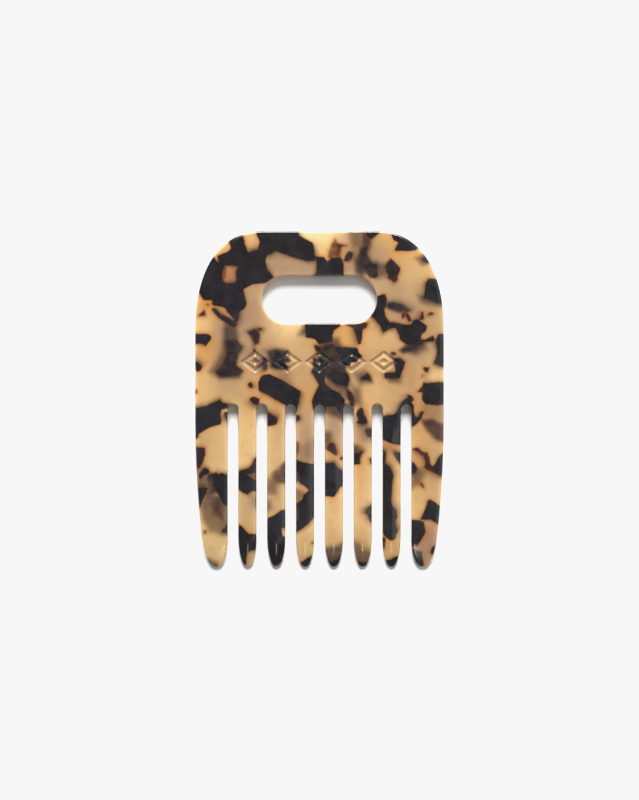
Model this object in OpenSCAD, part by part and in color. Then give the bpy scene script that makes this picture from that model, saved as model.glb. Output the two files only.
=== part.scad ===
// Flat hair comb in one piece of polished acetate sheet: a broad handle with a finger slot,
// and eight wide-set teeth whose tips are thinned and rounded.
// X runs across the teeth, Y runs from the tips up to the handle, and Z is the sheet's thickness.
// The back face lies on Z = 0, and the origin is the middle of the back face.

/* [Overall size] */
// Width at the widest place
comb_w = 75; // [72:0.5:80]
// Length from the tips of the teeth to the top of the handle
comb_l = 101.6; // [96:0.2:110]
// Thickness of the sheet
sheet_t = 4; // [3:0.1:5]
// Radius of the polished edge
edge_r = 0.7; // [0.3:0.05:0.7]

/* [Handle] */
// Width of each rounded top corner
corner_w = 21.2; // [14:0.2:30]
// Height of each rounded top corner
corner_h = 30.6; // [20:0.2:40]
// Squareness of the top corners: 2 is an ellipse, and more is squarer
corner_power = 2.35; // [2:0.05:3.5]
// Length of the finger slot
slot_l = 34.6; // [24:0.2:44]
// Width of the finger slot
slot_w = 14; // [8:0.2:18]
// Handle left above the slot
slot_drop = 13.7; // [10:0.05:18]

/* [Teeth] */
// Distance from one tooth to the next
tooth_pitch = 8.7; // [8.2:0.05:9]
// Width of the gap between two teeth
gap_w = 3.2; // [2.4:0.1:3.6]
// Depth of the gaps, measured from the tips
gap_l = 49.2; // [42:0.1:54]
// Length of the rounded tip of an inner tooth
tip_l = 9.6; // [6:0.1:12]
// Length of the rounded tip of an outer tooth
outer_tip_l = 8.4; // [6:0.1:12]
// Bluntness of the tips: 2 is an ellipse, and more is blunter
tip_power = 2.3; // [2:0.05:2.6]
// Thickness left at the very tip: the back stays flat and only the front slopes
tip_t = 1.6; // [1.6:0.1:2.6]
// Length over which a tooth gets thinner
thin_l = 13; // [10:0.5:20]
// How far each side of the comb curves in by the tips
side_in = 3.2; // [0:0.1:5]
// Height above the tips where the sides start to curve in
side_h = 45.8; // [30:0.2:50]

/* [Ornament] */
// Lozenges in the pressed band
lozenge_n = 5; // [3:1:5]
// Width of a lozenge
lozenge_w = 8.8; // [7:0.1:9.2]
// Height of a lozenge
lozenge_h = 6.6; // [5.4:0.1:8]
// Distance from one lozenge to the next
lozenge_pitch = 9.7; // [9.4:0.1:11]
// Height of the band's middle above the gaps
band_rise = 12.9; // [9:0.05:14]
// Width of the pressed line
line_w = 1.1; // [0.6:0.1:1.2]
// Depth of the pressed line
line_depth = 0.35; // [0.2:0.05:0.6]

/* [Hidden] */
gap_n = 7;                            // gaps between the eight teeth
half_w = comb_w / 2;
half_l = comb_l / 2;
gap_r = gap_w / 2;
root_y = gap_l - half_l;              // closed end of the gaps
corner_y = half_l - corner_h;         // where the top corners start
slot_y = half_l - slot_drop - slot_w / 2;
band_y = root_y + band_rise;
arc_steps = 4;                        // facets in a quarter of a gap's closed end
shank_steps = 5;                      // rows along the straight part of a tooth
tip_steps = 8;                        // rows along the rounded tip
side_steps = 3;                       // rows up the straight part of the handle's side
corner_steps = 14;                    // rows round a top corner
edge_steps = 3;                       // facets in a quarter round of the edge
proud = 1;                            // how far a cutter stands out of the sheet
thin_power = 1.6;                     // how gradually the thinning sets in: 1 is a straight wedge
core_size = 0.27;                     // size of a lozenge's middle, as a share of the lozenge

// Half the width of the whole comb at a height y, with the tips still square
function half_width(y) =
    y > corner_y ? half_w - corner_w + corner_w
            * pow(1 - pow((y - corner_y) / corner_h, corner_power), 1 / corner_power) :
    half_w - side_in * pow(max(0, side_h - half_l - y) / side_h, 2);

// Half the thickness at a height y, which is also how high the middle of the thickness lies
function half_thick(y) =
    (sheet_t - (sheet_t - tip_t) * pow(max(0, thin_l - half_l - y) / thin_l, thin_power)) / 2;

// A tooth is described by rows from its root down to its tip. Each row is [height, way in from
// the gap's side beside its closed end, share of the tooth's full width].
function tooth_rows(k) =
    let (l = k == 0 || k == gap_n ? outer_tip_l : tip_l, tip_y = l - half_l)
    concat(
        [for (i = [1 : arc_steps]) let (a = 90 * i / arc_steps)
            [root_y - gap_r + gap_r * cos(a), gap_r * (1 - sin(a)), 1]],
        [for (i = [1 : shank_steps]) let (s = i / shank_steps)
            [(root_y - gap_r) * (1 - s) + tip_y * s, 0, 1]],
        [for (i = [1 : tip_steps - 1]) let (a = 90 * i / tip_steps)
            [tip_y - l * pow(sin(a), 2 / tip_power), 0, pow(cos(a), 2 / tip_power)]]);
row_n = arc_steps + shank_steps + tip_steps - 1;

function gap_x(k) = (k - (gap_n - 1) / 2) * tooth_pitch;

// Left and right limits of tooth k at a height y, with its tip still square
function left_x(k, y) = k == 0 ? -half_width(y) : gap_x(k - 1) + gap_r;
function right_x(k, y) = k == gap_n ? half_width(y) : gap_x(k) - gap_r;

// Share of a tooth's width that lies left of its tip: the outer teeth lean in a little
function tip_share(k) = k == 0 ? 0.46 : k == gap_n ? 0.54 : 0.5;
function tip_x(k, y) = left_x(k, y) + tip_share(k) * (right_x(k, y) - left_x(k, y));

function left_point(k, row) = let (y = row[0], l = left_x(k, y), m = tip_x(k, y))
    [m + (l - m) * row[2] - (k > 0 ? row[1] : 0), y];
function right_point(k, row) = let (y = row[0], r = right_x(k, y), m = tip_x(k, y))
    [m + (r - m) * row[2] + (k < gap_n ? row[1] : 0), y];

// Heights of the rows up the handle, from the gaps to the flat top
handle_rows = concat(
    [for (i = [0 : side_steps]) root_y + (corner_y - root_y) * i / side_steps],
    [for (i = [1 : corner_steps]) corner_y
        + corner_h * pow(sin(90 * i / corner_steps), 2 / corner_power)]);
handle_n = len(handle_rows);

// The outline, anticlockwise: down and up each tooth from left to right, then round the handle
function tooth_outline(k) = concat(
    [for (row = tooth_rows(k)) left_point(k, row)],
    [[tip_x(k, -half_l), -half_l]],
    [for (i = [row_n - 1 : -1 : 0]) right_point(k, tooth_rows(k)[i])],
    k < gap_n ? [[gap_x(k), root_y]] : []);
outline = concat(
    [for (k = [0 : gap_n]) each tooth_outline(k)],
    [for (y = handle_rows) [half_width(y), y]],
    [for (i = [handle_n - 1 : -1 : 0]) [-half_width(handle_rows[i]), handle_rows[i]]]);
point_n = len(outline);

// Places of the points in the outline
stride = 2 * row_n + 2;
function left_i(k, j) = k * stride + j;
function right_i(k, j) = k * stride + 2 * row_n - j;
function root_i(k) = k * stride + 2 * row_n + 1;
function side_right_i(j) = gap_n * stride + 2 * row_n + 1 + j;
function side_left_i(j) = point_n - 1 - j;

// An outline moved in by d along its normals
function unit(v) = v / norm(v);
function normal(a, b) = unit([b[1] - a[1], a[0] - b[0]]);
function inset(points, d) = let (n = len(points))
    [for (i = [0 : n - 1])
        let (before = normal(points[(i + n - 1) % n], points[i]),
            after = normal(points[i], points[(i + 1) % n]))
        points[i] - d * (before + after) / (1 + before * after)];

// One loop of the rounded edge: side is -1 on the back and 1 on the front, and the angle a runs
// from 0 on the flat face to 90 on the wall
function loop(side, a) = [for (p = inset(outline, edge_r * (1 - sin(a))))
    [p[0], p[1], half_thick(p[1]) + side * (half_thick(p[1]) - edge_r * (1 - cos(a)))]];

// Faces, each given anticlockwise as seen from outside
function quad(a, b, c, d) = [[a, b, c], [a, c, d]];
function fan(f) = [for (i = [1 : len(f) - 2]) [f[0], f[i], f[i + 1]]];
function flip(faces) = [for (f = faces) [f[2], f[1], f[0]]];
flat_face = concat(
    // the strip just above the gaps
    fan(concat([side_right_i(1), side_left_i(1), side_left_i(0)],
        [for (k = [0 : gap_n - 1]) root_i(k)], [side_right_i(0)])),
    // the rest of the handle
    [for (j = [1 : handle_n - 2])
        each quad(side_right_i(j), side_right_i(j + 1), side_left_i(j + 1), side_left_i(j))],
    // the teeth
    [for (k = [0 : gap_n])
        each quad(k == 0 ? side_left_i(0) : root_i(k - 1), left_i(k, 0), right_i(k, 0),
            k == gap_n ? side_right_i(0) : root_i(k))],
    [for (k = [0 : gap_n], j = [0 : row_n - 2])
        each quad(left_i(k, j), left_i(k, j + 1), right_i(k, j + 1), right_i(k, j))],
    [for (k = [0 : gap_n])
        [left_i(k, row_n - 1), left_i(k, row_n), right_i(k, row_n - 1)]]);
loops = concat(
    [for (i = [0 : edge_steps]) loop(-1, 90 * i / edge_steps)],
    [for (i = [edge_steps : -1 : 0]) loop(1, 90 * i / edge_steps)]);
wall = [for (k = [0 : len(loops) - 2], i = [0 : point_n - 1]) let (j = (i + 1) % point_n)
    each quad(k * point_n + i, k * point_n + j, (k + 1) * point_n + j, (k + 1) * point_n + i)];
front_start = (len(loops) - 1) * point_n;

// The sheet with its teeth, before the slot is cut
module blank() {
    polyhedron(
        points = [for (l = loops) each l],
        // OpenSCAD wants each face clockwise
        faces = concat(flat_face, flip(wall), flip([for (f = flat_face) f + front_start * [1, 1, 1]])));
}

// Half of the slot's cross-section, widening at both faces to round the slot's edges
module slot_profile() {
    r = slot_w / 2;
    lip = [for (i = [0 : edge_steps]) 90 * i / edge_steps];
    polygon(concat(
        [[0, -proud], [r + edge_r, -proud]],
        [for (a = lip) [r + edge_r * (1 - sin(a)), edge_r * (1 - cos(a))]],
        [for (a = [for (i = [edge_steps : -1 : 0]) lip[i]])
            [r + edge_r * (1 - sin(a)), sheet_t - edge_r * (1 - cos(a))]],
        [[r + edge_r, sheet_t + proud], [0, sheet_t + proud]]));
}

module finger_slot() {
    straight = slot_l - slot_w;
    translate([0, slot_y, 0]) {
        for (side = [0, 180])
            rotate(side) {
                translate([straight / 2, 0, 0]) rotate(-90) rotate_extrude(angle = 180) slot_profile();
                rotate([90, 0, 90]) linear_extrude(straight, center = true) slot_profile();
            }
    }
}

module lozenge(w, h) {
    polygon([[w / 2, 0], [0, h / 2], [-w / 2, 0], [0, -h / 2]]);
}

// Pressed lines: a row of lozenges, each with a small one in its middle
module ornament() {
    inradius = lozenge_w * lozenge_h / 2 / norm([lozenge_w, lozenge_h]);
    inner = 1 - line_w / inradius;    // size of the lozenge inside the line
    for (i = [0 : lozenge_n - 1])
        translate([(i - (lozenge_n - 1) / 2) * lozenge_pitch, band_y, sheet_t - line_depth])
            linear_extrude(line_depth + proud) {
                difference() {
                    lozenge(lozenge_w, lozenge_h);
                    lozenge(lozenge_w * inner, lozenge_h * inner);
                }
                lozenge(lozenge_w * core_size, lozenge_h * core_size);
            }
}

module comb() {
    color("burlywood") difference() {
        blank();
        finger_slot();
        ornament();
    }
}

comb();
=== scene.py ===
"""Looks of the hair comb: one polished sheet of tortoiseshell acetate with a pressed band of lozenges.

The mesh repeats the shape of part.scad in mm, with smooth arcs, a low roof on the front of the teeth
and soft shoulders on the pressed lines. The tortoiseshell is a set of chips that lie at their own
depths in the sheet. Each vertex gets its distance to the nearest chip, and the material draws the
edges.
"""
import math
import bpy
import numpy as np
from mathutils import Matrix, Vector, kdtree
from mathutils.geometry import delaunay_2d_cdt


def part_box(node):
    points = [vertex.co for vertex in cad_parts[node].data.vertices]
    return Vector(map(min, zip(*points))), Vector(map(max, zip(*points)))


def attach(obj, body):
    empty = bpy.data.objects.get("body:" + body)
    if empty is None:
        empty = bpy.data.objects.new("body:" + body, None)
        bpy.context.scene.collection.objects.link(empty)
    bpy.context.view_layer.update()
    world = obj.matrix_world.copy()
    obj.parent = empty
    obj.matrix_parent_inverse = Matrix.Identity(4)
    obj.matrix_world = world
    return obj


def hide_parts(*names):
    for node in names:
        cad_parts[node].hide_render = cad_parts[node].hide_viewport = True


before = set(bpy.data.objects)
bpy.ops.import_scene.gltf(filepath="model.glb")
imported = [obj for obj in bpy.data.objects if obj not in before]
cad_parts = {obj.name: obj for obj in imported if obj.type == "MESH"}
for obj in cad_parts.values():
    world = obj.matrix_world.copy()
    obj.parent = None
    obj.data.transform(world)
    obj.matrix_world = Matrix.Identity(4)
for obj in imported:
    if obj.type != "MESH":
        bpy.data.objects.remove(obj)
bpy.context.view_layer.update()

# --- Sizes in mm, as in part.scad
MM = 0.001
low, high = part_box("comb")
COMB_W, COMB_L, SHEET_T = [size / MM for size in high - low]
EDGE_R = 0.7              # radius of the polished edge
CORNER_W = 21.2           # width and height of a rounded top corner
CORNER_H = 30.6
CORNER_POWER = 2.35       # squareness of the top corners
SLOT_L = 34.6             # finger slot
SLOT_W = 14
SLOT_DROP = 13.7
TOOTH_PITCH = 8.7
GAP_N = 7
GAP_W = 3.2
GAP_L = 49.2
TIP_L = 9.6               # length of the rounded tip of an inner tooth, and of an outer one
OUTER_TIP_L = 8.4
TIP_POWER = 2.3           # bluntness of the tips
TIP_T = 1.6               # thickness left at the very tip, all taken off the front
THIN_L = 13               # length over which a tooth gets thinner
THIN_POWER = 1.6
SIDE_IN = 3.2             # how far each side curves in by the tips
SIDE_H = 45.8
OUTER_TIP_SHARE = 0.46    # how far in the outer teeth's tips lie, as a share of the width
LOZENGE_N = 5
LOZENGE_W = 8.8
LOZENGE_H = 6.6
LOZENGE_PITCH = 9.7
BAND_RISE = 12.9
LINE_W = 1.1
LINE_DEPTH = 0.35
CORE_SIZE = 0.27          # size of the small lozenge in each one's middle, as a share of it

HALF_W = COMB_W / 2
HALF_L = COMB_L / 2
MID_Z = SHEET_T / 2
GAP_R = GAP_W / 2
SLOT_R = SLOT_W / 2
ROOT_Y = GAP_L - HALF_L
CORNER_Y = HALF_L - CORNER_H
SLOT_Y = HALF_L - SLOT_DROP - SLOT_R
BAND_Y = ROOT_Y + BAND_RISE
LOZENGE_R = LOZENGE_W * LOZENGE_H / 2 / math.hypot(LOZENGE_W, LOZENGE_H)    # its inner radius
INNER_SIZE = 1 - LINE_W / LOZENGE_R

# --- Finish of the mesh, in mm
STEP = 0.45               # longest step along an outline
FRONT_GRID = 0.42         # distance between points on the front, and on the back
BACK_GRID = 0.6
CLEARANCE = 0.5           # nearest that a grid point comes to an edge, in grid steps
ROOT_STEPS = 9            # points round half of a gap's end, down a tooth and round its tip
TOOTH_STEPS = 30
TIP_STEPS = 27
SIDE_STEPS = 40           # points up a side, round a top corner and round an end of the slot
CORNER_STEPS = 90
SLOT_STEPS = 49
FLANK_LOOPS = 5           # loops down the side of a pressed line
EDGE_RINGS = 6            # rings in the quarter round of an edge
WALL_RINGS = 4            # rings down the wall between the two rounded edges
ROOF = 0.18               # fall of an inner tooth from the ridge along its middle
ROOF_REACH = 2.75         # width of each slope of that roof, on an inner and an outer tooth
OUTER_ROOF_REACH = 4.6
ROOF_Y = -6.0             # height at which the roof starts
ROOF_L = 6.0              # and the length in which it comes in
ROOF_ROUND = 0.35         # how much of a slope the rounded ridge takes up
RIDGE = 0.25              # how much further a tip falls
OUTER_RIDGE = 0.3         # and the share of that by which an outer one falls
RIDGE_L = 12.0            # over this length
TIP_ROUND = 0.85          # most of a tip's half thickness that its rounded edge takes up
SHOULDER = 0.08           # the pressed line's side: how far out and in from its edge it reaches
FLANK = 0.18
PAINTED_EDGE_LIGHT_REACH = 0.8           # painted light: how far in from every edge the honey is lightened, standing in for light let in through the edges
PAINTED_EDGE_LIGHT = 0.45           # and how much that painted light lightens the honey
SEED = 7

# --- Camera and lights, in metres and watts
LENS = 85                 # in mm, like the sensor's width
SENSOR = 36
VIEW_HEIGHT = 0.2409      # height of the picture at the comb's front face
VIEW_Y = -0.00024         # the camera looks at this height on the comb
FLOOR_SIZE = 3.0
LIGHTS = {
    # from beyond the handle, high up
    "key": {"place": (0.0, 2.06, 1.43), "size": (1.6, 1.9), "power": 200.0},
    # broad, to the right of what the flat faces mirror, facing straight down
    "panel": {"place": (1.35, 0.0, 2.3), "size": (2.2, 2.2), "power": 10.0, "target": (1.35, 0, 0)},
    # small and in front, for the ridges of the tips to mirror
    "spark": {"place": (0.0, -1.18, 1.97), "size": (0.18, 0.3), "power": 1.0},
}
WORLD_LIGHT = 0.22
WORLD_TONE = (1.0, 0.995, 0.99, 1)
PAPER = [(0.9, 0.895, 0.89, 1), (0.92, 0.915, 0.91, 1)]
PAPER_CLOUD_SIZE = 40.0   # in mm
KNEE = 0.9                # tones stay as they are up to here, and white is held at WHITE
WHITE = 0.93
ALBEDO = 0.53             # the acetate's own brightness, for the tones below as seen in this light

# --- Tortoiseshell pattern
PATTERN_SCALE = 1.0037    # the pattern was laid out on a slightly smaller sheet
PATTERN_SHIFT = -0.24     # and this much higher
FAR = 3.0                 # distances to a chip stop here, in mm
MARGIN = 4.0              # how far outside a chip's own box it can still matter
FAR_TINT = 0.001          # weight that a patch of colour keeps far away
CHIP_BOTTOM = (1.6, 4.6)  # how deep the chips reach
CHIP_T = 1                # and how thick they are at least
CHIP_LEAN = (0.1, 1.0)    # how far a chip's sides lean per mm of depth
SEEN_DEPTHS = (0.8, 1.8)  # depths at which a chip is looked at through the honey
DEPTH_SLACK = 0.01        # a chip's top and bottom still count as the chip
BLUR = 0.25               # half width of a buried chip's edge, and how it grows with depth
BLUR_GAIN = 0.7
VEIL_DEPTH = 3.0          # depth in which a buried chip fades to a third
VEIL = 0.92               # darkness of one slice of a chip, and how much weaker a red chip's is
RED_VEIL = 0.4
CHIP = (32, 28, 31)       # a chip's own colour, and that of its paler clouds
CHIP_CLOUD = (44, 42, 50)
SMOKE = (44, 36, 42)      # its colour when it is seen through the honey
RUSSET = (128, 68, 40)    # and that of a red chip

# --- Acetate, with sizes, reaches and heights in mm
SPREAD = (0.3, 0.7)       # the part of a noise that counts
CLOUD_SIZE = 5.0          # pale clouds and orange veins in the honey
CLOUD = 0.15
VEIN_SIZE = 2.2
VEIN_SPREAD = (0.45, 0.75)
VEIN = 0.22
RAGGED_SIZE = 0.8         # how a chip's edge wanders, finely and broadly
RAGGED = 0.25
WAVY_SIZE = 2.4
WAVY = 0.35
WARM = 0.75               # glow in the honey next to a chip
WARM_REACH = 1.6
WARM_TINT = (0.92, 0.72, 0.52, 1)
SMOKE_SIZE = 2.6          # unevenness of the smoke
SMOKE_SPREAD = (0.2, 0.8)
SMOKE_RANGE = (0.92, 1.08)
EDGE = 0.6                # half width of a chip's edge, with the light let through along it
# What is left of the honey along the edge of a black chip, and of a red one
BLACK_EDGE = [
    (0.25, (1, 1, 1)), (0.42, (0.7, 0.52, 0.42)), (0.52, (0.26, 0.14, 0.1)),
    (0.64, (0.05, 0.025, 0.02)), (0.8, (0, 0, 0)),
]
BROWN_EDGE = [
    (0.25, (1, 1, 1)), (0.42, (0.66, 0.46, 0.35)), (0.62, (0.26, 0.11, 0.07)),
    (1.0, (0.18, 0.065, 0.04)),
]
CORE_EDGE = (-0.1, 0.25)  # where a chip's own colour comes in
CHIP_CLOUD_SIZE = 6.0     # paler clouds inside the chips
CHIP_CLOUD_SPREAD = (0.4, 0.7)
HAZE_SIZE = 6.0           # unevenness of the polish
ROUGHNESS = (0.10, 0.17)
PRESSED_ROUGHNESS = 0.12
WAVE_SIZE = 3.0           # faint waves of the polish, and grain in the pressed lines
WAVE_HEIGHT = 0.02
GRAIN_SIZE = 0.35
GRAIN_HEIGHT = 0.06
# The shader's settings, with the scattering's scale in metres
ACETATE = {
    "IOR": 1.49, "Subsurface Weight": 0.8, "Subsurface Radius": (1.0, 0.62, 0.38),
    "Subsurface Scale": 0.0028, "Coat Weight": 0.5, "Coat Roughness": 0.03,
}

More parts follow.
